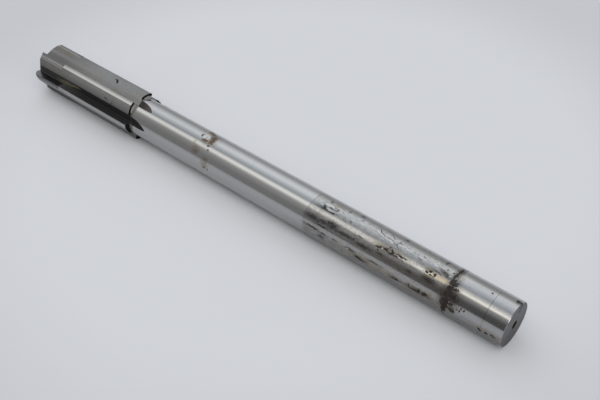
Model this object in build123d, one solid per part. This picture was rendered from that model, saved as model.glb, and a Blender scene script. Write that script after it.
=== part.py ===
from build123d import *
from math import acos, cos, degrees, pi, radians, sin, tan
import os

# A straight-shank chucking reamer with straight flutes and brazed carbide cutting tips.
# Millimetres and degrees. The tool lies along X, from the shank's end at x = 0 to the cutting end.
# Its axis is the X axis and Z is up. It cuts turning clockwise, as seen from the shank's end.

# Lengths and diameters of the turned bar
overall_length = 228.6
head_length = 59.7
shank_diameter = 15.86
cutting_diameter = 19.84
shank_end_chamfer = 0.25
shoulder_corner_radius = 0.4

# Steel of the head, ground a little below the carbide's size and a little short of its front
body_clearance = 0.1
tip_overhang = 0.4

# Flutes, as their milling cutter leaves them
flute_count = 6
flute_depth = 3.5
flute_floor_angle = 77.0
flute_floor_width = 3.3
flute_back_angle = 56.0
flute_corner_radius = 0.55
flute_back_radius = 2.2
flute_cutter_radius = 33.0
first_edge_angle = 6.2

# Lands: a narrow round margin behind each edge, then relief that falls away towards the heel
margin_width = 1.7
land_relief = 1.05
land_relief_angle = 34.0

# Lead at the cutting end, and the two clearances ground behind it
lead_chamfer = 1.6
lead_clearance_angle = 18.0
lead_clearance_width = 2.9
heel_clearance_angle = 45.0

# Carbide tips and the room left for brazing metal behind each one
tip_length = 16.5
tip_width = 3.0
tip_thickness = 1.6
braze_gap = 0.1

# Centre holes in both ends
centre_diameter = 3.0
centre_angle = 60.0
pilot_diameter = 1.4
pilot_depth = 1.8

# How far a cutting shape reaches past the metal that it cuts
spare = 2.0

# Places that follow from the sizes above
shank_radius = shank_diameter / 2
cutting_radius = cutting_diameter / 2
body_radius = cutting_radius - body_clearance
shoulder_x = overall_length - head_length
body_end_x = overall_length - tip_overhang
flute_floor = cutting_radius - flute_depth
pocket_floor = cutting_radius - tip_width
outside = cutting_radius + spare
pitch = 360.0 / flute_count
margin_angle = degrees(margin_width / cutting_radius)


def section_point(radius, angle):
    """Point of the cross-section, seen from the front, at an angle behind the edge that points up."""
    return (radius * sin(radians(angle)), radius * cos(radians(angle)))


def turned_bar():
    """Round bar with the shank, the shoulder and a centre hole in each end."""
    cone = (centre_diameter - pilot_diameter) / 2 / tan(radians(centre_angle / 2))
    hole_depth = cone + pilot_depth
    profile = Polygon(
        (hole_depth, 0),
        (hole_depth, pilot_diameter / 2),
        (cone, pilot_diameter / 2),
        (0, centre_diameter / 2),
        (0, shank_radius - shank_end_chamfer),
        (shank_end_chamfer, shank_radius),
        (shoulder_x, shank_radius),
        (shoulder_x, outside),
        (body_end_x, outside),
        (body_end_x, centre_diameter / 2),
        (body_end_x - cone, pilot_diameter / 2),
        (body_end_x - hole_depth, pilot_diameter / 2),
        (body_end_x - hole_depth, 0),
        align=None,
    )
    corner = profile.vertices().sort_by_distance((shoulder_x, shank_radius))[0]
    return revolve(fillet(corner, shoulder_corner_radius), axis=Axis.X)


def land_section(radius):
    """Cross-section of the ground lands: margin and relief behind each edge, flutes not yet cut."""
    edges = []
    for tooth in range(flute_count):
        edge = tooth * pitch
        margin_end = edge + margin_angle
        relief_end = edge + land_relief_angle
        margin_start_point = section_point(radius, edge)
        margin_mid_point = section_point(radius, edge + margin_angle / 2)
        margin_end_point = section_point(radius, margin_end)
        relief_mid_point = section_point(radius - land_relief / 2, (margin_end + relief_end) / 2)
        relief_end_point = section_point(radius - land_relief, relief_end)
        next_edge_point = section_point(radius, edge + pitch)
        edges.append(ThreePointArc(margin_start_point, margin_mid_point, margin_end_point))
        edges.append(ThreePointArc(margin_end_point, relief_mid_point, relief_end_point))
        edges.append(Line(relief_end_point, next_edge_point))
    return make_face(edges)


def flute():
    """Path of the milling cutter: straight along the head, then out of the shank on its own arc."""
    back_start = flute_floor + flute_floor_width / tan(radians(flute_floor_angle))
    back_reach = flute_floor_width + (outside - back_start) * tan(radians(flute_back_angle))
    profile = Polygon(
        (0, flute_floor),
        (0, outside),
        (-back_reach, outside),
        (-flute_floor_width, back_start),
        align=None,
    )
    bottom, bend = profile.vertices().sort_by(Axis.Y)[:2]
    profile = fillet(bottom, flute_corner_radius)
    bend = profile.vertices().sort_by_distance(bend)[0]
    profile = fillet(bend, flute_back_radius)
    section = Plane.YZ.offset(shoulder_x) * profile
    straight = extrude(section, head_length + spare, dir=(1, 0, 0))
    rise = shank_radius - flute_floor + spare
    turn = degrees(acos(1 - rise / flute_cutter_radius))
    cutter_axis = Axis((shoulder_x, 0, flute_floor + flute_cutter_radius), (0, 1, 0))
    return straight + revolve(section, axis=cutter_axis, revolution_arc=turn)


def lead_grinding():
    """Metal ground away in front of one tooth: the 45 degree lead, its clearance and the heel's."""
    heel_width = flute_floor * sin(radians(pitch)) - lead_clearance_width
    first_fall = lead_clearance_width * tan(radians(lead_clearance_angle))
    second_fall = first_fall + heel_width * tan(radians(heel_clearance_angle))
    profile = Polygon(
        (0, 0),
        (lead_clearance_width, -first_fall),
        (lead_clearance_width + heel_width, -second_fall),
        (lead_clearance_width + heel_width, outside),
        (0, outside),
        align=None,
    )
    # the grinding runs along the lead's edge, from the front face out to the cutting diameter
    lead_start = (overall_length, 0, cutting_radius - lead_chamfer)
    along_edge = Plane(origin=lead_start, x_dir=(0, 1, 0), z_dir=(1, 0, -1))
    if along_edge.y_dir.X < 0:
        raise ValueError("the lead is ground from the front")
    return extrude(along_edge * profile, cutting_radius, both=True)


def pocket(start_y, length):
    """Straight box from a pocket's floor outwards, over a length measured back from the front."""
    box = Box(
        length + spare,
        tip_thickness - start_y,
        outside - pocket_floor,
        align=(Align.MIN, Align.MIN, Align.MIN),
    )
    return Pos(overall_length - length, start_y, pocket_floor) * box


def round_the_axis(shape):
    """One copy of a shape for each tooth, the first at the first edge's angle."""
    return [Rot(X=first_edge_angle - 90 - tooth * pitch) * shape for tooth in range(flute_count)]


# The steel body
relief_ring = Circle(outside + spare) - land_section(body_radius)
relief_ring = extrude(Plane.YZ.offset(shoulder_x - spare) * relief_ring, head_length + 2 * spare)
body = turned_bar() - Rot(X=first_edge_angle - 90) * relief_ring
body = body - round_the_axis(flute())
body = body - round_the_axis(lead_grinding())
body = body - round_the_axis(pocket(-flute_corner_radius, tip_length + braze_gap))

# One carbide tip, ground with the lands to the cutting diameter
tip_envelope = extrude(Plane.YZ.offset(shoulder_x) * land_section(cutting_radius), head_length)
tip = pocket(0, tip_length) & tip_envelope
tip = tip - lead_grinding()
tips = round_the_axis(tip)

os.makedirs("parts", exist_ok=True)
export_step(body, "parts/reamer_body.step")
for number, solid in enumerate(tips, start=1):
    export_step(solid, f"parts/carbide_tip_{number}.step")
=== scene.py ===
"""Dresses the chucking reamer: worn steel, brazed carbide tips, and a pale table in soft light."""

import math
from types import SimpleNamespace

import bpy
from bpy.props import FloatProperty, FloatVectorProperty, PointerProperty
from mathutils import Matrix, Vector

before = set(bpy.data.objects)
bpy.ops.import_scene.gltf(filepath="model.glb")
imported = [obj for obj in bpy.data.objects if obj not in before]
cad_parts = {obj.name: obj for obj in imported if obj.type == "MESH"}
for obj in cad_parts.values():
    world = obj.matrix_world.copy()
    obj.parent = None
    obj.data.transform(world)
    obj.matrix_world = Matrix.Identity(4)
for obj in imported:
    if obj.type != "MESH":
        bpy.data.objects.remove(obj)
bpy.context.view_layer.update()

bl_info = {
    "name": "Chucking Reamer Finish",
    "version": (1, 0, 0),
    "blender": (4, 5, 0),
    "location": "3D View > Sidebar > Reamer",
    "description": "Finishes the reamer's steel and carbide, and sets its table and light",
    "category": "Material",
}

# A millimetre in Blender's metres
MILLIMETRE = 0.001

# Radii and heights of the tool in millimetres, as in the part
SHANK_RADIUS = 7.93
BODY_RADIUS = 9.82
FLUTE_FLOOR = 6.42
CENTRE_RADIUS = 1.5
SHANK_CHAMFER = 0.25
LAND_RELIEF = 1.05

# Places in millimetres along the tool from the shank's end
WORN_END = 78.4
RUN_OUT_START = 150.0
SHOULDER = 168.9
TIP_START = 212.1

# Angles in degrees round the tool from straight up, which grow towards the camera's side (+Y)
FIRST_EDGE = 83.8
TOOTH_PITCH = 60.0
UPPER_FLUTE = (-34.0, 40.0)
DULL_MARGIN = (-60.0, -20.0)

# Angles in degrees behind a tooth's edge
MARGIN_END = 9.8
FLUTE_START = 31.2
RELIEF_END = 34.0

# Marks on the tool: millimetres along, degrees round, half length in millimetres,
# half width in degrees, turn in degrees
RUST_MARKS = (
    (21.3, 9, 0.55, 11, 0),
    (21.2, -14, 0.5, 12, 0),
    (21.0, 24, 1.0, 9, 0),
    (19.6, 26, 0.8, 5, 35),
    (20.4, 40, 1.6, 8, 0),
    (20.4, 53, 2.1, 12, 0),
    (20.8, 76, 1.6, 16, 0),
    (20.9, 96, 0.9, 12, 0),
    (18.5, 53, 1.0, 8, 0),
    (18.2, 36, 0.35, 3.5, 0),
    (21.0, 165, 0.8, 62, 0),
    (21.3, -118, 0.6, 38, 0),
    (18.6, 73, 0.8, 3.5, 20),
    (17.5, 88, 0.8, 5, 0),
    (18.4, 84, 0.5, 4, 0),
    (16.2, 77, 0.3, 1.6, 0),
    (15.3, 77.5, 0.3, 4, -10),
    (14.8, 69.5, 0.28, 3.6, 10),
    (13.9, 70.5, 0.3, 3, -20),
    (27.2, 31, 0.38, 4.4, 0),
    (29.1, 28.5, 0.55, 3, 0),
    (30.2, 33, 0.6, 2, 0),
    (28.3, 35.5, 1.3, 0.9, 0),
    (27.7, 84, 0.9, 5, 0),
    (28.3, 90, 0.7, 3, 0),
    (30.2, 86, 0.4, 7, 0),
    (32.4, 90.5, 1.7, 2.4, 0),
    (34.0, 85, 0.25, 6, 10),
    (48.7, 37.5, 1.0, 2.4, 0),
    (47.9, 34, 0.5, 1.4, 0),
    (46.2, 35.5, 0.9, 1.7, -10),
    (45.0, 37.5, 0.5, 1.6, 0),
    (44.1, 37.5, 0.5, 2.0, 0),
    (43.1, 35, 0.6, 4.2, 0),
    (45.6, 34.0, 1.0, 2.4, 0),
    (41.6, 36.0, 0.8, 1.8, 0),
    (43.6, 28.5, 0.35, 3.6, 15),
    (44.7, 24.5, 0.3, 3, 0),
    (45.3, 30, 0.5, 1.4, 20),
    (41.3, 31.3, 0.9, 1.0, 0),
    (39.9, 32.5, 1.1, 2.0, 0),
    (42.2, 38.3, 0.9, 1.0, 0),
    (38.9, 38.6, 0.5, 1.0, 0),
    (38.2, 32, 0.8, 1.8, 0),
    (48.3, 44, 0.25, 3, 0),
    (54.3, 91, 0.9, 3, 0),
    (52.4, 92, 0.9, 2.2, 0),
    (54.8, 87.5, 0.4, 1.6, 0),
    (38.8, 90, 0.6, 2.2, 0),
    (3.0, 94, 0.9, 3, 0),
    (5.3, 97, 0.7, 3, 0),
    (7.6, 96, 0.9, 3, -25),
    (132.6, -24, 1.2, 7, 0),
    (130.7, -19, 1.2, 5.5, 0),
    (128.7, -7, 0.6, 9, 0),
    (128.3, 7, 1.0, 7, 0),
    (131.3, 15, 1.3, 4, 0),
    (128.4, 15, 1.1, 3, 0),
    (133.9, 3, 0.45, 5, 0),
    (128.3, 26, 0.55, 2.6, 0),
    (127.2, 36, 0.45, 3, 0),
    (132.3, 51, 0.7, 4, 0),
    (132.2, 58.5, 0.6, 2.2, 0),
    (126.8, 86, 0.5, 2, 20),
    (124.9, 87, 0.3, 3.5, 0),
)
DARK_FILMS = (
    (21.5, -46, 0.6, 42, 0),
    (20.4, -40, 0.5, 36, 0),
    (21.2, 0, 1.1, 20, 0),
    (20.4, 36, 2.2, 20, 0),
    (19.9, 66, 3.0, 26, 0),
    (18.4, 82, 1.4, 12, 20),
    (1.3, -18, 0.6, 8, 0),
    (26.4, -18, 0.5, 8, 0),
    (42.1, -20.5, 0.6, 5, 0),
    (60.0, -19.5, 0.8, 6, 0),
    (64.8, -9, 0.5, 3, 0),
    (72.6, -9, 0.6, 4, 0),
    (29.4, 27, 1.6, 4, 0),
    (24.6, 15.5, 2.3, 5.5, -20),
    (27.4, 20.5, 2.0, 2.4, -10),
    (30.0, 88, 4.6, 7, 0),
    (39.5, 90, 2.2, 4, 0),
    (53.5, 91, 2.6, 6, 0),
    (44.4, 33, 4.6, 6, 0),
    (28.5, 47, 2.4, 6, 0),
    (72.0, 19.5, 3.4, 4, 0),
    (73.3, 13, 0.8, 7, 0),
    (75.4, 52, 3.2, 7, 0),
    (70.6, 50, 2.6, 5, 0),
    (67.0, 47, 2.4, 9, 0),
    (61.5, 52, 3.6, 3.5, 0),
    (54.0, 55, 2.6, 4, 0),
    (46.8, 50, 1.4, 2.4, 0),
    (35.5, 53, 0.9, 3, 0),
    (70.8, 62, 2.6, 2.6, 0),
    (74.5, 77, 3.2, 3.2, 0),
    (70.0, 80, 2.2, 2.6, 0),
    (64.4, 79, 1.4, 2.4, 0),
    (57.5, 80, 2.0, 4, 0),
    (70.2, 91, 1.2, 6, 0),
    (48.0, 79, 3.0, 2.4, 0),
    (129.0, -4, 1.6, 12, 20),
)
DARK_FLAKES = (
    (9.0, 0, 0.4, 2.6, 0),
    (1.6, -18, 0.55, 6, 0),
    (0.5, -17, 0.55, 7, 0),
    (22.7, 3, 0.4, 2.6, 0),
    (24.9, 3, 0.2, 2.6, 0),
    (33.4, 2.5, 0.7, 1.2, 0),
    (42.6, 2.5, 0.6, 1.2, -25),
    (51.2, -3, 1.3, 1.0, -42),
    (49.8, 3.2, 1.4, 1.0, -18),
    (47.4, 5.6, 1.6, 0.9, 0),
    (45.0, 8.5, 1.4, 1.1, -28),
    (43.2, 14.0, 1.2, 1.0, -35),
    (46.4, -6, 1.6, 0.8, -40),
    (43.4, 3, 0.18, 7, -8),
    (34.4, 13, 1.2, 0.8, -4),
    (61.8, 18, 0.24, 3.2, 0),
    (64.6, 20, 0.26, 2, 0),
    (63.8, 22, 0.26, 1.6, 0),
    (73.2, 17, 0.5, 3, 0),
    (71.6, 9.7, 0.6, 1.3, 0),
    (70.2, 11, 1.1, 1.2, 0),
    (68.9, 10, 0.7, 1.4, 0),
    (68.4, 6, 0.25, 4, 0),
    (69.2, 4, 0.5, 1.0, 0),
    (66.5, 3, 0.22, 2, 0),
    (71.5, 20.3, 3.0, 1.1, 0),
    (69.4, 20, 0.9, 1.6, 0),
    (67.9, 43, 1.2, 2.2, 0),
    (66.2, 48, 0.8, 3, 0),
    (68.8, 45, 0.3, 4, 0),
    (65.1, 53, 0.4, 3, 0),
    (66.9, 54, 0.9, 2, 0),
    (76.2, 52.5, 1.1, 2.0, 0),
    (74.3, 54, 0.8, 2.2, 0),
    (72.8, 56, 0.7, 2.0, 0),
    (71.0, 51, 0.8, 1.6, 0),
    (71.5, 62.7, 1.0, 1.5, 0),
    (69.7, 61, 0.9, 1.2, 0),
    (57.8, 50, 0.25, 3, 0),
    (58.0, 41.5, 0.5, 1.2, -20),
    (56.0, 37.3, 0.7, 0.9, -15),
    (55.2, 38.8, 0.5, 0.8, 0),
    (50.5, 55, 0.3, 4.4, 0),
    (50.6, 43, 0.22, 2, 0),
    (47.0, 50.5, 0.7, 1.1, 0),
    (35.5, 53, 0.3, 1.6, 0),
    (69.4, 80, 0.35, 2, 0),
    (74.6, 77, 1.2, 1.5, 0),
    (73.0, 78, 0.6, 2.2, 0),
    (64.7, 78.5, 0.4, 1.2, 0),
)
STAINS = (
    (24.6, 16, 2.6, 5, -12),
    (25.6, 85, 2.8, 14, 0),
    (28.6, 45, 2.4, 6, 0),
    (20.6, 6, 1.8, 14, 0),
    (20.2, 66, 4.2, 30, 0),
    (30.8, 88, 5.6, 10, 0),
    (44.5, 31, 6.6, 10, 0),
    (50.5, 86, 13.0, 10, 0),
    (75.5, 78.5, 4.2, 4, 0),
    (129.4, 2, 3.2, 24, 0),
    (132.6, 48, 1.8, 14, 0),
    (126.9, 74, 1.8, 16, 10),
    (143.0, 58, 0.9, 2.4, 0),
    (126.6, 59, 1.2, 4, 0),
    (134.5, 33, 0.7, 7, 0),
    (69.0, -6, 2.4, 8, 0),
    (42.0, 54, 10.0, 5, 0),
    (26.0, 54, 5.0, 6, 0),
    (11.4, 89, 0.4, 3, 0),
    (4.5, 92, 5.0, 7, 0),
)
GOLD_STAINS = (
    (25.0, 31, 3.2, 5, 0),
    (28.9, 24.5, 2.0, 5, 0),
    (28.9, 37, 1.4, 1.6, 0),
)
SCARS = (
    (51.0, 2.5, 1.3, 4, -16),
    (48.6, 8, 2.4, 2.4, -10),
    (45.4, 9, 1.3, 4.5, 15),
    (42.0, 6, 1.6, 3.0, 10),
    (39.0, 7, 1.6, 3, 0),
    (33.9, 9.5, 1.9, 2, -4),
    (28.8, 7, 0.9, 3, 0),
    (72.1, 4, 2.0, 5, 0),
    (71.0, 16, 2.0, 2.4, 0),
    (67.4, 0, 1.2, 2.2, 0),
    (41.3, 35, 1.2, 1.5, 0),
    (47.3, 36.2, 0.5, 1.6, 0),
    (45.2, 33.3, 0.9, 1.0, 0),
    (22.9, 16, 0.3, 2.2, 0),
    (131.9, -5, 1.1, 5, 0),
    (132.5, 6, 0.8, 6, 0),
    (130.6, 3, 0.6, 7, 0),
    (58.8, 83, 0.3, 3, 0),
)
HEAD_NICKS = (
    (185.2, -10.5, 1.15, 2.8, -39),
    (186.2, -14.5, 0.9, 2.2, 0),
    (183.1, 48, 0.8, 1.6, -20),
    (179.4, 52, 0.6, 1.0, 20),
)
HEAD_STAINS = (
    (216.8, -12.0, 3.0, 3.6, 0),
    (224.0, -16, 0.8, 6, 0),
    (178.5, 17, 4.5, 4, 0),
)
BRAZE_SPILL = (
    (209.5, 73, 5.4, 7, 4),
    (204.6, 69, 3.6, 4.4, 6),
)

# Faint rings that a holder left, as very short and very wide marks
FAINT_RINGS = (
    (7.4, 34, 0.12, 68, 0),
    (56.0, 15, 0.05, 28, 0),
    (73.9, 35, 0.09, 44, 0),
    (107.4, 20, 0.04, 44, 0),
)

# Colours that a user has no need to change
# dark colour for real dust and dirt, and for painted shade at the middle tooth's heel and on the tool's
# underside
DIRT_AND_SHADE = (0.05, 0.045, 0.04, 1.0)
RIM_RUST = (0.2, 0.075, 0.03, 1.0)
RIM_OLIVE = (0.13, 0.11, 0.05, 1.0)
THIN_RUST = (0.115, 0.077, 0.05, 1.0)
SCALE_BROWN = (0.225, 0.221, 0.21, 1.0)
HEAD_BROWN = (0.17, 0.135, 0.085, 1.0)
RUN_OUT_BLACK = (0.02, 0.0145, 0.013, 1.0)
RUN_OUT_BROWN = (0.085, 0.068, 0.06, 1.0)
RING_GREY = (0.1, 0.095, 0.085, 1.0)

# Soft light panels as bands round the tool: degrees up from the camera's side, and colour.
# The first list is met by rays that leave the shank's end, the second by rays that leave the head,
# and the third by rays that go back past the shank's end.
BANDS_NEAR = (
    (0.0, (0.12, 0.12, 0.12)),
    (24.0, (0.13, 0.13, 0.13)),
    (34.0, (0.21, 0.21, 0.21)),
    (42.0, (0.38, 0.38, 0.38)),
    (53.0, (0.53, 0.52, 0.50)),
    (57.0, (1.45, 1.42, 1.35)),
    (62.0, (2.1, 2.06, 1.9)),
    (68.0, (1.42, 1.4, 1.34)),
    (77.0, (0.95, 0.95, 0.93)),
    (86.0, (0.58, 0.61, 0.65)),
    (98.0, (0.77, 0.83, 0.92)),
    (112.0, (1.07, 1.12, 1.2)),
    (130.0, (1.25, 1.3, 1.34)),
    (140.0, (1.08, 1.11, 1.14)),
    (150.0, (0.60, 0.61, 0.63)),
    (165.0, (0.47, 0.47, 0.48)),
)
BANDS_FAR = (
    (0.0, (0.32, 0.32, 0.32)),
    (24.0, (0.33, 0.33, 0.34)),
    (40.0, (0.45, 0.45, 0.45)),
    (50.0, (0.54, 0.53, 0.53)),
    (58.0, (0.75, 0.75, 0.74)),
    (64.0, (1.4, 1.4, 1.36)),
    (71.0, (1.6, 1.61, 1.58)),
    (78.0, (0.86, 0.87, 0.87)),
    (86.0, (0.6, 0.64, 0.68)),
    (98.0, (0.7, 0.75, 0.8)),
    (112.0, (1.08, 1.15, 1.22)),
    (124.0, (1.3, 1.37, 1.44)),
    (140.0, (1.13, 1.18, 1.23)),
    (150.0, (0.78, 0.81, 0.85)),
    (165.0, (0.52, 0.53, 0.55)),
)
BANDS_BESIDE = (
    (0.0, (0.3, 0.3, 0.3)),
    (35.0, (0.5, 0.5, 0.5)),
    (50.0, (2.25, 2.25, 2.25)),
    (85.0, (2.25, 2.25, 2.25)),
    (100.0, (0.45, 0.45, 0.47)),
    (180.0, (0.35, 0.35, 0.37)),
)

# Middle of the table's painted vignette and the camera's place, in metres, and the camera's angles in
# degrees
VIGNETTE_MIDDLE = (0.115, -0.034, -0.01)
CAMERA_PLACE = (-0.05598, 0.16862, 0.19774)
CAMERA_DOWN = 41.59
CAMERA_TURN = 220.13


def color_setting(name, description, default):
    """A colour that a user can change."""
    return FloatVectorProperty(
        name=name, description=description, subtype="COLOR", size=3, min=0.0, max=1.0, default=default
    )


def share_setting(name, description, default):
    """A number from 0 to 1 that a user can change."""
    return FloatProperty(
        name=name, description=description, subtype="FACTOR", min=0.0, max=1.0, default=default
    )


class ReamerSteelSettings(bpy.types.PropertyGroup):
    ground_color: color_setting("Ground Steel", "Steel of the shank and margins", (0.42, 0.418, 0.415))
    worn_color: color_setting("Worn Steel", "Warmer steel of the worn length", (0.47, 0.46, 0.445))
    scale_color: color_setting("Hardening Scale", "Grey scale on reliefs and flutes", (0.24, 0.24, 0.241))
    end_color: color_setting("End Face", "Turned end of the shank", (0.15, 0.152, 0.16))
    # the grime colour also paints shade in the lower flutes, their roots, the shoulder's step and the
    # centre hole
    grime_color: color_setting("Grime", "Black oil and dust in corners", (0.01, 0.01, 0.011))
    rust_color: color_setting("Rust", "Brown of the thinner rust", (0.034, 0.0255, 0.0205))
    rust_core_color: color_setting("Rust Core", "Middle of the rust", (0.012, 0.009, 0.008))
    gold_color: color_setting("Gold Stain", "Straw-coloured film near the rust", (0.4, 0.345, 0.235))
    stain_color: color_setting("Stain", "Thin brown film round the rust", (0.27, 0.235, 0.18))
    flake_color: color_setting("Flakes", "Black scale left on the worn shank", (0.02, 0.02, 0.021))
    scar_color: color_setting("Scars", "Pale steel where the surface came off", (0.5, 0.49, 0.475))
    ground_roughness: share_setting("Ground Roughness", "Roughness of the ground steel", 0.13)
    scale_roughness: share_setting("Scale Roughness", "Roughness of the hardening scale", 0.55)


class ReamerCarbideSettings(bpy.types.PropertyGroup):
    carbide_color: color_setting("Carbide", "Sintered carbide of the tips", (0.13, 0.13, 0.135))
    braze_color: color_setting("Braze", "Brazing metal behind the tips", (0.42, 0.36, 0.22))
    # a paler tone for the joint behind each tip, partly its own colour and partly a painted highlight
    joint_and_sheen_color: color_setting("Ground Joint", "Joint behind each tip", (0.36, 0.34, 0.32))
    carbide_roughness: share_setting("Carbide Roughness", "Roughness of the ground carbide", 0.34)


class ReamerStageSettings(bpy.types.PropertyGroup):
    table_color: color_setting("Table", "Paper that the tool lies on", (0.635, 0.645, 0.67))
    backdrop_color: color_setting("Backdrop", "Plain backdrop beyond the table", (0.62, 0.64, 0.68))
    table_size: FloatProperty(
        name="Table Size",
        description="Length of the table's sides",
        subtype="DISTANCE",
        unit="LENGTH",
        min=1.0,
        default=24.0,
    )
    lens: FloatProperty(
        name="Lens",
        description="Focal length of the camera",
        subtype="DISTANCE_CAMERA",
        min=10.0,
        default=49.74,
    )


def fill_inputs(tree, node, inputs):
    """Links or sets a node's inputs."""
    for key, value in (inputs or {}).items():
        if isinstance(value, bpy.types.NodeSocket):
            tree.links.new(value, node.inputs[key])
        else:
            node.inputs[key].default_value = value
    return node


def put(tree, kind, inputs=None, **settings):
    """One new node, with its settings made and its inputs linked or set."""
    node = tree.nodes.new(kind)
    for key, value in settings.items():
        setattr(node, key, value)
    return fill_inputs(tree, node, inputs)


def use(tree, group, inputs=None):
    """Outputs of a group placed in a tree."""
    node = tree.nodes.new("ShaderNodeGroup")
    node.node_tree = group
    return fill_inputs(tree, node, inputs).outputs


def calc(tree, operation, *values):
    """Result of one Math node."""
    return put(tree, "ShaderNodeMath", dict(enumerate(values)), operation=operation).outputs[0]


def calc_vector(tree, operation, *vectors):
    """Outputs of one Vector Math node."""
    inputs = dict(enumerate(vectors))
    return put(tree, "ShaderNodeVectorMath", inputs, operation=operation).outputs


def ramp_up(tree, value, low, high):
    """0 below low and 1 above high, with a smooth step between. It falls if low is higher."""
    inputs = {"Value": value, "From Min": low, "From Max": high}
    node = put(tree, "ShaderNodeMapRange", inputs, interpolation_type="SMOOTHSTEP")
    return node.outputs["Result"]


def between(tree, value, low, high, soft):
    """1 between low and high, falling to 0 over a soft edge outside them."""
    rise = ramp_up(tree, value, low - soft, low)
    fall = ramp_up(tree, value, high + soft, high)
    return calc(tree, "MULTIPLY", rise, fall)


def opposite(tree, mask):
    return calc(tree, "SUBTRACT", 1.0, mask)


def either(tree, *masks):
    """The strongest of some masks."""
    result = masks[0]
    for mask in masks[1:]:
        result = calc(tree, "MAXIMUM", result, mask)
    return result


def both(tree, *masks):
    """The product of some masks."""
    result = masks[0]
    for mask in masks[1:]:
        result = calc(tree, "MULTIPLY", result, mask)
    return result


def blend_color(tree, factor, low, high):
    """Colour between two, by a mask."""
    inputs = {"Factor": factor, 6: low, 7: high}
    return put(tree, "ShaderNodeMix", inputs, data_type="RGBA").outputs[2]


def blend_value(tree, factor, low, high):
    """Number between two, by a mask."""
    inputs = {"Factor": factor, 2: low, 3: high}
    return put(tree, "ShaderNodeMix", inputs, data_type="FLOAT").outputs[0]


def blend_noise(tree, first, share, second):
    """Sum of two noises, the first by its share and the second by the rest."""
    weighed = calc(tree, "MULTIPLY", first, share)
    return calc(tree, "ADD", weighed, calc(tree, "MULTIPLY", second, 1.0 - share))


def coat(tree, color, mask, share, over):
    """Colour with another laid over it, as thick as a share of a mask."""
    return blend_color(tree, calc(tree, "MULTIPLY", mask, share), color, over)


def noise(tree, place, scale, detail, roughness=0.5):
    """Noise texture, with a scale in features for each unit of its place."""
    inputs = {"Vector": place, "Scale": scale, "Detail": detail, "Roughness": roughness}
    return put(tree, "ShaderNodeTexNoise", inputs).outputs


def bump(tree, height, distance, strength):
    """Normal tilted by a height, whose whole range stands for a distance in metres."""
    inputs = {"Height": height, "Distance": distance, "Strength": strength}
    return put(tree, "ShaderNodeBump", inputs).outputs[0]


def shade(color, strength=1.0):
    """A setting's colour as a socket takes it, lighter or darker by its strength."""
    return (color[0] * strength, color[1] * strength, color[2] * strength, 1.0)


def new_group(name, inputs, outputs):
    """Empty shader node group with named sockets, its inputs and its end node."""
    group = bpy.data.node_groups.new(name, "ShaderNodeTree")
    kinds = {"value": "NodeSocketFloat", "vector": "NodeSocketVector"}
    for socket, kind, default in inputs:
        made = group.interface.new_socket(name=socket, in_out="INPUT", socket_type=kinds[kind])
        if default is not None:
            made.default_value = default
    for socket, kind in outputs:
        group.interface.new_socket(name=socket, in_out="OUTPUT", socket_type=kinds[kind])
    return group, group.nodes.new("NodeGroupInput").outputs, group.nodes.new("NodeGroupOutput")


def finish_group(group, end, results):
    """The group with its results linked to its end node."""
    fill_inputs(group, end, results)
    return group


def shared_group(maker):
    """The group that a function makes, made the first time it is asked for."""
    name = maker.__name__.replace("_", " ").title()
    return bpy.data.node_groups.get(name) or maker(name)


def tool_coordinates(name):
    """A point's place along the tool, round it, from its axis, behind an edge and unrolled."""
    outputs = [
        ("Place", "vector"),
        ("Along", "value"),
        ("Around", "value"),
        ("Radius", "value"),
        ("Behind Edge", "value"),
        ("Unrolled", "vector"),
    ]
    group, _, end = new_group(name, [], outputs)
    metres = put(group, "ShaderNodeTexCoord").outputs["Object"]
    inputs = {0: metres, "Scale": 1.0 / MILLIMETRE}
    place = put(group, "ShaderNodeVectorMath", inputs, operation="SCALE").outputs[0]
    xyz = put(group, "ShaderNodeSeparateXYZ", {0: place}).outputs
    across = put(group, "ShaderNodeCombineXYZ", {"Y": xyz["Y"], "Z": xyz["Z"]}).outputs[0]
    radius = calc_vector(group, "LENGTH", across)["Value"]
    radians = calc(group, "ARCTAN2", xyz["Y"], xyz["Z"])
    around = calc(group, "DEGREES", radians)
    # counted from one degree ahead of the edge, so that a tooth's face is on one side of the seam
    behind = calc(group, "SUBTRACT", around, FIRST_EDGE - 1.0)
    behind = calc(group, "FLOORED_MODULO", behind, TOOTH_PITCH)
    behind = calc(group, "SUBTRACT", behind, 1.0)
    arc = calc(group, "MULTIPLY", radians, SHANK_RADIUS)
    unrolled = put(group, "ShaderNodeCombineXYZ", {"X": xyz["X"], "Y": arc}).outputs[0]
    results = {
        "Place": place,
        "Along": xyz["X"],
        "Around": around,
        "Radius": radius,
        "Behind Edge": behind,
        "Unrolled": unrolled,
    }
    return finish_group(group, end, results)


def placed_mark(name):
    """An oval mark on the unrolled tool, added to the marks before it and placed from the last."""
    inputs = [
        ("From Last Mark", "vector", None),
        ("Step", "vector", (0.0, 0.0, 0.0)),
        ("Lengthwise", "vector", (1.0, 0.0, 0.0)),
        ("Crosswise", "vector", (0.0, 1.0, 0.0)),
        ("Softness", "value", 0.4),
        ("Marks Before", "value", 0.0),
    ]
    group, given, end = new_group(name, inputs, [("From This Mark", "vector"), ("Marks", "value")])
    place = calc_vector(group, "SUBTRACT", given["From Last Mark"], given["Step"])[0]
    shares = []
    for axis in ("Lengthwise", "Crosswise"):
        reach = calc_vector(group, "DOT_PRODUCT", place, given[axis])["Value"]
        shares.append(calc(group, "POWER", reach, 2.0))
    distance = calc(group, "SQRT", calc(group, "ADD", *shares))
    outer = calc(group, "ADD", 1.0, given["Softness"])
    inner = calc(group, "SUBTRACT", 1.0, given["Softness"])
    mark = ramp_up(group, distance, outer, inner)
    marks = calc(group, "MAXIMUM", given["Marks Before"], mark)
    return finish_group(group, end, {"From This Mark": place, "Marks": marks})


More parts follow.
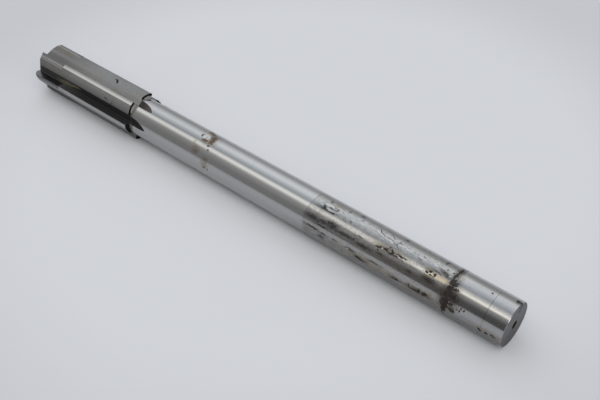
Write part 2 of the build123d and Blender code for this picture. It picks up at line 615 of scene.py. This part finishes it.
def ragged_edge(name):
    """A soft mask turned into a ragged one by noise."""
    inputs = [("Mask", "value", 0.0), ("Noise", "value", 0.5), ("Raggedness", "value", 1.0)]
    group, given, end = new_group(name, inputs, [("Mask", "value")])
    shift = both(group, calc(group, "SUBTRACT", given["Noise"], 0.5), given["Raggedness"])
    moved = calc(group, "ADD", given["Mask"], shift)
    return finish_group(group, end, {"Mask": ramp_up(group, moved, 0.38, 0.62)})


def grinding_lines(name):
    """Fine lines left by grinding or milling, as dense along or across the tool as asked."""
    inputs = [("Place", "vector", None), ("Density", "vector", (4.0, 0.1, 0.1))]
    group, given, end = new_group(name, inputs, [("Lines", "value")])
    stretched = calc_vector(group, "MULTIPLY", given["Place"], given["Density"])[0]
    return finish_group(group, end, {"Lines": noise(group, stretched, 1.0, 3.0, 0.6)["Fac"]})


def mark_masks(tree, trail, marks, softness):
    """Mask of a list of marks. The trail keeps the last centre and the place counted from it."""
    group = shared_group(placed_mark)
    degree = math.radians(1.0) * SHANK_RADIUS
    mask = 0.0
    for along, around, half_length, half_width, turn in marks:
        centre = Vector((along, around * degree, 0.0))
        cos, sin = math.cos(math.radians(turn)), math.sin(math.radians(turn))
        inputs = {
            "From Last Mark": trail["place"],
            "Step": centre - trail["centre"],
            "Lengthwise": (cos / half_length, sin / half_length, 0.0),
            "Crosswise": (-sin / (half_width * degree), cos / (half_width * degree), 0.0),
            "Softness": softness,
            "Marks Before": mask,
        }
        marked = use(tree, group, inputs)
        mask = marked["Marks"]
        trail["place"] = marked["From This Mark"]
        trail["centre"] = centre
    return mask


def tear(tree, mask, grain, raggedness):
    """Mask of some marks with its soft edge made ragged."""
    inputs = {"Mask": mask, "Noise": grain, "Raggedness": raggedness}
    return use(tree, shared_group(ragged_edge), inputs)["Mask"]


def ground_lines(tree, at, density):
    """Grinding lines on the tool, with their density along X, Y and Z."""
    inputs = {"Place": at["Place"], "Density": density}
    return use(tree, shared_group(grinding_lines), inputs)["Lines"]


def margin_strip(tree, at, start, low, high):
    """Strip along the teeth from one place to the front, between two angles behind the edge."""
    strip = between(tree, at["Behind Edge"], low, high, 0.6)
    return both(tree, strip, ramp_up(tree, at["Along"], start - 0.3, start))


def new_material(name):
    """Material with a Principled BSDF: the material, its tree and the shader."""
    material = bpy.data.materials.new(name)
    material.use_nodes = True
    tree = material.node_tree
    tree.nodes.clear()
    surface = tree.nodes.new("ShaderNodeBsdfPrincipled")
    output = tree.nodes.new("ShaderNodeOutputMaterial")
    tree.links.new(surface.outputs[0], output.inputs["Surface"])
    return material, tree, surface


def dress(node, material):
    """Gives a CAD node one material and nothing else."""
    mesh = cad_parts[node].data
    mesh.materials.clear()
    mesh.materials.append(material)
    mesh.polygons.foreach_set("material_index", [0] * len(mesh.polygons))


# Layers of the steel


def start_steel(tree, at):
    """What the layers share: noises of several sizes and the starts of the two chains of marks."""
    steel = SimpleNamespace()
    steel.broad = noise(tree, at["Place"], 0.13, 3.0)["Fac"]
    middle = noise(tree, at["Place"], 0.7, 4.0, 0.6)
    steel.middle = middle["Fac"]
    steel.fine = noise(tree, at["Place"], 2.6, 5.0, 0.65)["Fac"]
    steel.streaks = ground_lines(tree, at, (0.5, 2.2, 2.2))
    # the unrolled place, pushed about so that no mark is a clean oval
    push = calc_vector(tree, "SUBTRACT", middle["Color"], (0.5, 0.5, 0.5))[0]
    push = calc_vector(tree, "MULTIPLY", push, (1.5, 1.2, 0.0))[0]
    pushed = calc_vector(tree, "ADD", at["Unrolled"], push)[0]
    # the lists of marks are in chains, because side by side they are too much for one shader
    steel.sharp_trail = {"place": at["Unrolled"], "centre": Vector((0.0, 0.0, 0.0))}
    steel.trail = {"place": pushed, "centre": Vector((0.0, 0.0, 0.0))}
    return steel


def find_surfaces(tree, at, steel):
    """Masks of where each kind of surface is."""
    along, around, radius, behind = at["Along"], at["Around"], at["Radius"], at["Behind Edge"]
    steel.head = ramp_up(tree, along, SHOULDER - 0.35, SHOULDER - 0.05)
    outermost = ramp_up(tree, radius, BODY_RADIUS - 0.12, BODY_RADIUS - 0.03)
    outermost = both(tree, steel.head, outermost)
    bright = opposite(tree, between(tree, around, *DULL_MARGIN, 3.0))
    steel.margin = both(tree, outermost, bright)
    steel.run_out = both(
        tree,
        ramp_up(tree, along, RUN_OUT_START, RUN_OUT_START + 1.0),
        ramp_up(tree, radius, SHANK_RADIUS - 0.03, SHANK_RADIUS - 0.1),
        opposite(tree, steel.head),
    )
    # the last 1.5 mm of the shank is as dull as the head, so it mirrors little of the shoulder
    dull_end = ramp_up(tree, along, SHOULDER - 1.9, SHOULDER - 1.2)
    steel.scaled = both(tree, either(tree, dull_end, steel.run_out), opposite(tree, steel.margin))
    steel.ahead = ramp_up(tree, behind, 0.6, 0.3)
    flute = either(tree, ramp_up(tree, behind, FLUTE_START, FLUTE_START + 0.8), steel.ahead)
    flute = both(tree, steel.head, flute, opposite(tree, outermost))
    steel.flute = either(tree, flute, steel.run_out)
    steel.shoulder = both(
        tree,
        between(tree, along, SHOULDER - 0.5, SHOULDER + 0.1, 0.1),
        ramp_up(tree, radius, SHANK_RADIUS - 0.02, SHANK_RADIUS + 0.02),
    )
    steel.end_face = ramp_up(tree, along, 0.12, 0.04)
    steel.centre_hole = both(
        tree,
        ramp_up(tree, radius, CENTRE_RADIUS + 0.22, CENTRE_RADIUS),
        ramp_up(tree, along, 9.0, 8.0),
    )
    wander = calc(tree, "SUBTRACT", steel.broad, 0.5)
    steel.worn_edge = calc(tree, "MULTIPLY_ADD", wander, 2.2, along)
    steel.worn = ramp_up(tree, steel.worn_edge, WORN_END + 0.2, WORN_END - 0.6)
    steel.side = calc(tree, "ABSOLUTE", around)


def lay_bare_steel(tree, at, steel, look):
    """Ground steel, a little uneven, and warmer and duller where it was held and worn."""
    along = at["Along"]
    tint = calc(tree, "MULTIPLY_ADD", calc(tree, "SUBTRACT", steel.middle, 0.5), 0.25, 0.5)
    ground = look.ground_color
    steel.color = blend_color(tree, tint, shade(ground, 0.94), shade(ground, 1.1))
    dulled = both(tree, steel.worn, ramp_up(tree, steel.middle, 0.42, 0.62))
    steel.rough = blend_value(tree, dulled, look.ground_roughness, look.ground_roughness + 0.02)

    warm = both(tree, steel.worn, ramp_up(tree, steel.worn_edge, 12.0, 24.0))
    steel.color = coat(tree, steel.color, warm, 0.7, shade(look.worn_color))
    # a little darker towards the head on top of the shank, and towards the tips on the margins
    away = both(tree, ramp_up(tree, along, 105.0, 150.0), ramp_up(tree, at["Around"], 56.0, 42.0))
    steel.color = coat(tree, steel.color, away, 0.1, DIRT_AND_SHADE)
    dull = calc(tree, "MULTIPLY_ADD", ramp_up(tree, along, 203.0, TIP_START), 0.16, 0.14)
    steel.color = blend_color(tree, both(tree, steel.margin, dull), steel.color, DIRT_AND_SHADE)


def lay_hardening_scale(tree, at, steel, look):
    """Grey scale of the hardening, on the reliefs, in the flutes and in their run-outs."""
    around = at["Around"]
    blotches = ramp_up(tree, steel.broad, 0.35, 0.7)
    scale = blend_color(tree, blotches, shade(look.scale_color), SCALE_BROWN)
    speckle = blend_noise(tree, steel.streaks, 0.5, steel.fine)
    steel.speckle = ramp_up(tree, speckle, 0.38, 0.64)
    scale = coat(tree, scale, steel.speckle, 0.3, shade(look.scale_color, 0.4))
    # darker towards the front, painted shade towards the middle tooth's heel, and painted light that
    # makes the upper flute's side paler
    steel.front = calc(tree, "MULTIPLY", ramp_up(tree, at["Along"], 196.0, 218.0), 0.4)
    painted_heel_shade = ramp_up(tree, at["Behind Edge"], 10.0, 33.0)
    painted_heel_shade = both(tree, painted_heel_shade, between(tree, around, 30.0, 60.0, 3.0))
    front_darkening_and_heel_shade = either(tree, steel.front, calc(tree, "MULTIPLY", painted_heel_shade, 0.5))
    scale = blend_color(tree, front_darkening_and_heel_shade, scale, DIRT_AND_SHADE)
    # painted light: the upper flute's side gets a paler scale, most towards its outer part
    painted_flute_light = both(tree, steel.flute, steel.head, between(tree, around, *UPPER_FLUTE, 6.0))
    outer = ramp_up(tree, at["Radius"], 7.4, 8.4)
    painted_flute_light = both(tree, painted_flute_light, blend_value(tree, outer, 0.02, 0.42))
    scale = blend_color(tree, painted_flute_light, scale, shade(look.scale_color, 2.2))
    steel.color = blend_color(tree, steel.scaled, steel.color, scale)
    steel.rough = blend_value(tree, steel.scaled, steel.rough, look.scale_roughness)


def lay_tip_joint(tree, at, steel, carbide):
    """Strip of steel and brazing metal behind each tip, made paler, partly as a painted highlight."""
    strip = margin_strip(tree, at, TIP_START, 9.6, 15.5)
    strip = both(tree, strip, opposite(tree, steel.flute))
    # the paler tone is partly the joint's own and partly a painted highlight
    steel.color = coat(tree, steel.color, strip, 0.45, shade(carbide.joint_and_sheen_color))


def lay_dust(tree, at, steel):
    """Dust and oil specks in the worn length, and painted shade on the side that the tool lies on."""
    share = blend_value(tree, ramp_up(tree, steel.worn_edge, 19.0, 22.5), 0.35, 1.0)
    zone = either(tree, both(tree, steel.worn, share), 0.1)
    lower = ramp_up(tree, steel.side, 74.0, 92.0)
    lower = calc(tree, "MULTIPLY_ADD", lower, 0.4, 0.28)
    dirt = both(tree, zone, steel.speckle, lower, opposite(tree, steel.head))
    tiny = noise(tree, at["Place"], 4.5, 2.0, 0.6)["Fac"]
    specks = both(tree, zone, ramp_up(tree, tiny, 0.52, 0.62), opposite(tree, steel.head))
    dirt = either(tree, dirt, calc(tree, "MULTIPLY", specks, 0.72))
    steel.color = blend_color(tree, dirt, steel.color, DIRT_AND_SHADE)
    # painted shade: the side that the tool lies on is darker, most of all towards the shank's end
    film = calc(tree, "MULTIPLY", ramp_up(tree, steel.side, 76.0, 92.0), 0.14)
    film = calc(tree, "MULTIPLY_ADD", ramp_up(tree, steel.side, 92.0, 110.0), 0.26, film)
    film = both(tree, film, blend_value(tree, ramp_up(tree, at["Along"], 70.0, 10.0), 1.0, 1.6))
    film = both(tree, film, ramp_up(tree, at["Along"], 96.0, 72.0))
    steel.color = blend_color(tree, film, steel.color, DIRT_AND_SHADE)


def lay_end_face(tree, at, steel, look):
    """Turned end face of the shank, darker on its lower side."""
    cross = ground_lines(tree, at, (0.0, 2.5, 0.7))
    turned = blend_color(tree, cross, shade(look.end_color, 0.65), shade(look.end_color, 1.4))
    turned = coat(tree, turned, ramp_up(tree, steel.side, 60.0, 150.0), 0.45, DIRT_AND_SHADE)
    low_rim = ramp_up(tree, at["Radius"], 7.1, 7.7)
    low_rim = both(tree, low_rim, ramp_up(tree, at["Around"], -70.0, -110.0))
    turned = coat(tree, turned, low_rim, 0.85, shade(look.grime_color))
    steel.color = blend_color(tree, steel.end_face, steel.color, turned)
    steel.rough = blend_value(tree, steel.end_face, steel.rough, 0.5)


def lay_grime(tree, at, steel, look):
    """Grime and painted shade in the lower flutes and their run-outs, painted shade in the flutes' roots,
    a painted shadow on the shoulder's step, and grime in nicks.
    """
    along, around, radius = at["Along"], at["Around"], at["Radius"]
    # the lower flutes get black that is partly real grime and partly painted shade, darker deeper in
    lower_flutes = opposite(tree, between(tree, around, *UPPER_FLUTE, 6.0))
    deep = either(tree, ramp_up(tree, radius, 8.7, 7.7), steel.ahead, steel.run_out)
    patches = ramp_up(tree, steel.middle, 0.05, 0.35)
    flute_grime_and_shade = both(tree, steel.flute, lower_flutes, deep, patches)
    open_flute = blend_value(tree, between(tree, around, 95.0, 155.0, 5.0), 1.0, 0.25)
    flute_grime_and_shade = both(tree, flute_grime_and_shade, open_flute, blend_value(tree, steel.front, 1.0, 0.4))
    # painted shade: a dark line in the root of each flute
    painted_root_shade = ramp_up(tree, radius, FLUTE_FLOOR + 0.3, FLUTE_FLOOR + 0.08)
    painted_root_shade = both(tree, steel.flute, painted_root_shade, opposite(tree, steel.run_out))
    reddish = both(tree, steel.run_out, between(tree, around, -10.0, 30.0, 4.0))
    tone = ramp_up(tree, along, 167.5, 161.5)
    tone = blend_color(tree, tone, RUN_OUT_BLACK, RUN_OUT_BROWN)
    steel.color = coat(tree, steel.color, reddish, 0.9, tone)
    flute_grime_and_shade = calc(tree, "MULTIPLY", flute_grime_and_shade, 0.95)
    flute_grime_and_shade = either(tree, flute_grime_and_shade, calc(tree, "MULTIPLY", painted_root_shade, 0.7))
    steel.color = blend_color(tree, flute_grime_and_shade, steel.color, shade(look.grime_color))

    nicks = both(tree, mark_masks(tree, steel.sharp_trail, HEAD_NICKS, 0.35), steel.head)
    # painted shadow makes the step black in its outer 1 mm, counted from the land's surface, and it is
    # grey further in
    land = ramp_up(tree, at["Behind Edge"], MARGIN_END, RELIEF_END)
    land = calc(tree, "MULTIPLY_ADD", land, -LAND_RELIEF, BODY_RADIUS)
    inner = ramp_up(tree, calc(tree, "SUBTRACT", radius, land), -0.85, -1.1)
    inner = both(tree, inner, between(tree, around, -60.0, 56.0, 4.0), steel.shoulder)
    steel.inner_step = inner
    steel.color = blend_color(tree, inner, steel.color, shade(look.scar_color, 0.55))
    painted_step_shadow = both(tree, steel.shoulder, opposite(tree, inner))
    grime = either(tree, painted_step_shadow, nicks)
    steel.color = blend_color(tree, grime, steel.color, shade(look.grime_color, 0.6))
    steel.grime = either(tree, grime, flute_grime_and_shade)


def lay_head_films(tree, steel, carbide):
    """Brown film on the head, and brazing metal that ran out behind a tip."""
    brown = both(tree, mark_masks(tree, steel.trail, HEAD_STAINS, 0.6), steel.scaled)
    steel.color = coat(tree, steel.color, brown, 0.65, HEAD_BROWN)
    spill = mark_masks(tree, steel.trail, BRAZE_SPILL, 0.6)
    spill = both(tree, spill, steel.flute, ramp_up(tree, steel.fine, 0.35, 0.6))
    steel.color = blend_color(tree, spill, steel.color, shade(carbide.braze_color, 0.6))


def lay_stains(tree, steel, look):
    """Brown, straw-coloured and dark films of the shank."""
    stain = mark_masks(tree, steel.trail, STAINS, 0.55)
    stain = both(tree, stain, ramp_up(tree, steel.middle, 0.25, 0.6))
    steel.color = coat(tree, steel.color, stain, 0.8, shade(look.stain_color))
    gold = mark_masks(tree, steel.trail, GOLD_STAINS, 0.5)
    gold = both(tree, gold, ramp_up(tree, steel.middle, 0.2, 0.5))
    steel.color = coat(tree, steel.color, gold, 0.8, shade(look.gold_color))
    steel.rough = calc(tree, "MULTIPLY_ADD", either(tree, stain, gold), 0.1, steel.rough)

    dark = mark_masks(tree, steel.trail, DARK_FILMS, 0.75)
    dark = both(tree, dark, ramp_up(tree, steel.fine, 0.24, 0.54))
    steel.color = coat(tree, steel.color, dark, 0.82, shade(look.flake_color, 1.4))


def lay_scars(tree, at, steel, look):
    """Pale scars with dark rims where the surface came off, and black flakes that are left."""
    scar = mark_masks(tree, steel.trail, SCARS, 0.5)
    rim = between(tree, scar, 0.12, 0.3, 0.1)
    rim = both(tree, rim, ramp_up(tree, steel.fine, 0.42, 0.6))
    steel.color = coat(tree, steel.color, rim, 0.65, shade(look.flake_color, 2.0))
    scar = tear(tree, scar, steel.fine, 1.1)
    steel.color = coat(tree, steel.color, scar, 0.8, shade(look.scar_color))
    steel.rough = blend_value(tree, scar, steel.rough, 0.36)

    flake = mark_masks(tree, steel.trail, DARK_FLAKES, 0.5)
    flake = tear(tree, flake, steel.fine, 1.25)
    # the side away from the camera has flakes of the same kind, strewn by noise
    far_side = opposite(tree, between(tree, at["Around"], -48.0, 100.0, 8.0))
    far_side = both(tree, steel.worn, far_side)
    strewn = both(tree, far_side, ramp_up(tree, steel.middle, 0.64, 0.7))
    strewn = both(tree, strewn, ramp_up(tree, steel.fine, 0.4, 0.6))
    steel.flake = either(tree, flake, strewn)
    steel.color = coat(tree, steel.color, steel.flake, 0.9, shade(look.flake_color))


def lay_rust(tree, at, steel, look):
    """Rust of the shank, thinner and browner away from its end, an olive and rust rim to the centre hole,
    and painted shade inside the hole.
    """
    grain = blend_noise(tree, steel.fine, 0.7, steel.middle)
    rust = mark_masks(tree, steel.trail, RUST_MARKS, 0.7)
    halo = both(tree, rust, ramp_up(tree, grain, 0.3, 0.56))
    steel.color = coat(tree, steel.color, halo, 0.6, DIRT_AND_SHADE)
    rust = tear(tree, rust, grain, 2.0)
    steel.rust = rust
    tone = ramp_up(tree, grain, 0.44, 0.62)
    tone = blend_color(tree, tone, shade(look.rust_core_color), shade(look.rust_color))
    tone = blend_color(tree, ramp_up(tree, at["Along"], 60.0, 110.0), tone, THIN_RUST)
    cover = blend_value(tree, ramp_up(tree, steel.middle, 0.35, 0.6), 0.7, 0.96)
    steel.color = blend_color(tree, both(tree, rust, cover), steel.color, tone)

    rim = blend_color(tree, ramp_up(tree, at["Around"], -40.0, 60.0), RIM_OLIVE, RIM_RUST)
    steel.color = blend_color(tree, steel.centre_hole, steel.color, rim)
    # painted shade: the centre hole is black inside, past its rim
    painted_hole_shade = both(tree, steel.centre_hole, ramp_up(tree, at["Along"], 0.02, 0.12))
    steel.color = blend_color(tree, painted_hole_shade, steel.color, shade(look.grime_color, 0.3))


def lay_rings(tree, steel):
    """Thin dark line where the worn length ends, and faint rings that a holder left."""
    thin = between(tree, steel.worn_edge, WORN_END - 0.1, WORN_END + 0.1, 0.15)
    thin = both(tree, thin, ramp_up(tree, steel.fine, 0.36, 0.56))
    ring = calc(tree, "MULTIPLY", thin, 0.6)
    faint = mark_masks(tree, steel.sharp_trail, FAINT_RINGS, 0.7)
    ring = either(tree, ring, calc(tree, "MULTIPLY", faint, 0.5))
    steel.color = blend_color(tree, ring, steel.color, RING_GREY)


def finish_steel(tree, at, steel, surface):
    """Gloss and bump of the steel, and the links from its layers to the shader."""
    coated = either(tree, steel.flake, steel.rust, steel.centre_hole, steel.grime, steel.inner_step)
    rough = blend_value(tree, coated, steel.rough, 0.75)
    metal = blend_value(tree, steel.scaled, 1.0, 0.35)
    metal = both(tree, metal, opposite(tree, coated))
    round_lines = ground_lines(tree, at, (5.0, 0.12, 0.12))
    long_lines = ground_lines(tree, at, (0.15, 4.0, 4.0))
    ground = blend_value(tree, steel.head, round_lines, long_lines)
    # the bump reads few masks, because its height is worked out three times
    relief = ramp_up(tree, at["Radius"], BODY_RADIUS - 0.03, BODY_RADIUS - 0.12)
    relief = both(tree, steel.head, relief)
    height = calc(tree, "MULTIPLY", ground, blend_value(tree, relief, 0.0006, 0.006))
    pitted = ramp_up(tree, at["Along"], WORN_END + 0.5, WORN_END - 1.5)
    pitted = both(tree, pitted, steel.fine)
    height = calc(tree, "MULTIPLY_ADD", pitted, 0.0012, height)
    results = {
        "Base Color": steel.color,
        "Roughness": rough,
        "Metallic": metal,
        "Normal": bump(tree, height, MILLIMETRE, 1.0),
        "Specular IOR Level": 0.15,
    }
    fill_inputs(tree, surface, results)


class REAMER_OT_steel(bpy.types.Operator):
    """Finish the steel body with its grinding, hardening scale, grime and rust"""

    bl_idname = "reamer.steel"
    bl_label = "Finish Steel Body"

    def execute(self, context):
        look = context.scene.reamer_steel
        carbide = context.scene.reamer_carbide
        material, tree, surface = new_material("Worn Steel")
        at = use(tree, shared_group(tool_coordinates))
        # the layers keep their order, because the shader is near the renderer's limit
        steel = start_steel(tree, at)
        find_surfaces(tree, at, steel)
        lay_bare_steel(tree, at, steel, look)
        lay_hardening_scale(tree, at, steel, look)
        lay_tip_joint(tree, at, steel, carbide)
        lay_dust(tree, at, steel)
        lay_end_face(tree, at, steel, look)
        lay_grime(tree, at, steel, look)
        lay_head_films(tree, steel, carbide)
        lay_stains(tree, steel, look)
        lay_scars(tree, at, steel, look)
        lay_rust(tree, at, steel, look)
        lay_rings(tree, steel)
        finish_steel(tree, at, steel, surface)
        dress("reamer_body", material)
        return {"FINISHED"}


class REAMER_OT_carbide(bpy.types.Operator):
    """Finish the carbide tips"""

    bl_idname = "reamer.carbide"
    bl_label = "Finish Carbide Tips"

    def execute(self, context):
        look = context.scene.reamer_carbide
        material, tree, surface = new_material("Brazed Carbide")
        at = use(tree, shared_group(tool_coordinates))
        middle = noise(tree, at["Place"], 0.9, 3.0, 0.6)["Fac"]
        fine = noise(tree, at["Place"], 5.0, 3.0)["Fac"]
        tone = look.carbide_color
        color = blend_color(tree, middle, shade(tone, 0.8), shade(tone, 1.25))
        # brazing metal smeared over the joint behind the tip, painted paler, partly as a highlight
        smear_and_sheen = margin_strip(tree, at, 0.0, 7.2, 12.0)
        smear_and_sheen = both(tree, smear_and_sheen, ramp_up(tree, middle, 0.25, 0.5))
        color = coat(tree, color, smear_and_sheen, 0.45, shade(look.joint_and_sheen_color))
        even = look.carbide_roughness
        rough = blend_value(tree, fine, even - 0.06, even + 0.06)
        height = calc(tree, "MULTIPLY", ground_lines(tree, at, (0.2, 6.0, 6.0)), 0.002)
        results = {
            "Base Color": color,
            "Roughness": rough,
            "Metallic": 1.0,
            "Normal": bump(tree, height, MILLIMETRE, 1.0),
        }
        fill_inputs(tree, surface, results)
        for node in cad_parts:
            if node.startswith("carbide_tip"):
                dress(node, material)
        return {"FINISHED"}


def paper_material(stage):
    """Pale paper, even round the tool and painted a little greyer further out, as a vignette."""
    material, tree, surface = new_material("Pale Paper")
    place = put(tree, "ShaderNodeTexCoord").outputs["Object"]
    distance = calc_vector(tree, "DISTANCE", place, VIGNETTE_MIDDLE)["Value"]
    # painted vignette: the paper greyer further from the middle
    outer = ramp_up(tree, distance, 0.10, 0.18)
    cloudy = noise(tree, place, 14.0, 3.0)["Fac"]
    outer = calc(tree, "MULTIPLY_ADD", calc(tree, "SUBTRACT", cloudy, 0.5), 0.25, outer)
    paper = blend_color(tree, outer, shade(stage.table_color), shade(stage.table_color, 0.86))
    fibres = noise(tree, place, 900.0, 3.0)["Fac"]
    results = {
        "Base Color": paper,
        "Normal": bump(tree, fibres, 0.04 * MILLIMETRE, 0.5),
        "Roughness": 0.9,
        "Specular IOR Level": 0.2,
    }
    fill_inputs(tree, surface, results)
    return material


def lay_table(context, stage):
    """Table that touches the shank's end and the lowest edge of the head."""
    end_low = Vector((MILLIMETRE * SHANK_CHAMFER, 0.0, -MILLIMETRE * SHANK_RADIUS))
    slope = 0.0
    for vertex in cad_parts["reamer_body"].data.vertices:
        # the first 0.1 m is plain shank
        if vertex.co.x > 0.1:
            slope = min(slope, (vertex.co.z - end_low.z) / (vertex.co.x - end_low.x))
    half = stage.table_size / 2
    corners = []
    for x, y in ((-half, -half), (half, -half), (half, half), (-half, half)):
        corners.append((x, y, end_low.z + slope * (x - end_low.x)))
    mesh = bpy.data.meshes.new("table")
    mesh.from_pydata(corners, [], [(0, 1, 2, 3)])
    mesh.update()
    table = bpy.data.objects.new("table", mesh)
    context.scene.collection.objects.link(table)
    mesh.materials.append(paper_material(stage))


def light_bands(tree, turn, bands):
    """Colour of the light round the tool, from one list of bands."""
    ramp = tree.nodes.new("ShaderNodeValToRGB")
    tree.links.new(turn, ramp.inputs[0])
    elements = ramp.color_ramp.elements
    while len(elements) < len(bands):
        elements.new(0.5)
    # the ramp sorts its elements by place, so all are placed before any is coloured
    for element, (angle, _) in zip(elements, bands):
        element.position = angle / 180.0
    for element, (_, color) in zip(elements, bands):
        element.color = (*color, 1.0)
    return ramp.outputs[0]


def light_world(context, stage):
    """Soft light from all round the tool, and a plain backdrop for the camera."""
    world = bpy.data.worlds.new("Soft Light")
    context.scene.world = world
    world.use_nodes = True
    tree = world.node_tree
    tree.nodes.clear()
    direction = put(tree, "ShaderNodeTexCoord").outputs["Generated"]
    xyz = put(tree, "ShaderNodeSeparateXYZ", {0: direction}).outputs
    # how far round the tool a light stands: 0 level on the camera's side, 1 level behind
    turn = calc(tree, "DIVIDE", calc(tree, "ARCTAN2", xyz["Z"], xyz["Y"]), math.pi)
    near = light_bands(tree, turn, BANDS_NEAR)
    far = light_bands(tree, turn, BANDS_FAR)
    beside = light_bands(tree, turn, BANDS_BESIDE)
    bands = blend_color(tree, ramp_up(tree, xyz["X"], 0.25, 0.5), near, far)
    bands = blend_color(tree, ramp_up(tree, xyz["X"], 0.1, -0.2), bands, beside)
    seen = put(tree, "ShaderNodeLightPath").outputs["Is Camera Ray"]
    sky = blend_color(tree, seen, bands, shade(stage.backdrop_color))
    light = put(tree, "ShaderNodeBackground", {"Color": sky, "Strength": 1.0})
    output = tree.nodes.new("ShaderNodeOutputWorld")
    tree.links.new(light.outputs[0], output.inputs["Surface"])


def place_camera(context, stage):
    """Camera at the photo's viewing angle."""
    lens = bpy.data.cameras.new("camera")
    lens.lens = stage.lens
    lens.sensor_width = 36.0
    lens.clip_start = 0.01
    lens.clip_end = 100.0
    camera = bpy.data.objects.new("camera", lens)
    context.scene.collection.objects.link(camera)
    camera.location = CAMERA_PLACE
    camera.rotation_euler = (math.radians(90.0 - CAMERA_DOWN), 0.0, math.radians(CAMERA_TURN))
    context.scene.camera = camera
    context.scene.view_settings.view_transform = "Standard"


class REAMER_OT_stage(bpy.types.Operator):
    """Set the table, the light and the camera"""

    bl_idname = "reamer.stage"
    bl_label = "Set Table, Light and Camera"

    def execute(self, context):
        stage = context.scene.reamer_stage
        lay_table(context, stage)
        light_world(context, stage)
        place_camera(context, stage)
        return {"FINISHED"}


class REAMER_PT_panel(bpy.types.Panel):
    """Finish of the reamer"""

    bl_idname = "REAMER_PT_panel"
    bl_label = "Chucking Reamer"
    bl_space_type = "VIEW_3D"
    bl_region_type = "UI"
    bl_category = "Reamer"

    def draw(self, context):
        scene = context.scene
        pairs = (
            (scene.reamer_steel, REAMER_OT_steel),
            (scene.reamer_carbide, REAMER_OT_carbide),
            (scene.reamer_stage, REAMER_OT_stage),
        )
        for settings, operator in pairs:
            for name in settings.bl_rna.properties.keys():
                if name not in {"rna_type", "name"}:
                    self.layout.prop(settings, name)
            self.layout.operator(operator.bl_idname)


CLASSES = (
    ReamerSteelSettings,
    ReamerCarbideSettings,
    ReamerStageSettings,
    REAMER_OT_steel,
    REAMER_OT_carbide,
    REAMER_OT_stage,
    REAMER_PT_panel,
)


def register():
    for cls in CLASSES:
        bpy.utils.register_class(cls)
    bpy.types.Scene.reamer_steel = PointerProperty(type=ReamerSteelSettings)
    bpy.types.Scene.reamer_carbide = PointerProperty(type=ReamerCarbideSettings)
    bpy.types.Scene.reamer_stage = PointerProperty(type=ReamerStageSettings)


def unregister():
    del bpy.types.Scene.reamer_stage
    del bpy.types.Scene.reamer_carbide
    del bpy.types.Scene.reamer_steel
    for cls in reversed(CLASSES):
        bpy.utils.unregister_class(cls)


def main():
    register()
    bpy.ops.reamer.steel()
    bpy.ops.reamer.carbide()
    bpy.ops.reamer.stage()


if __name__ == "__main__":
    main()
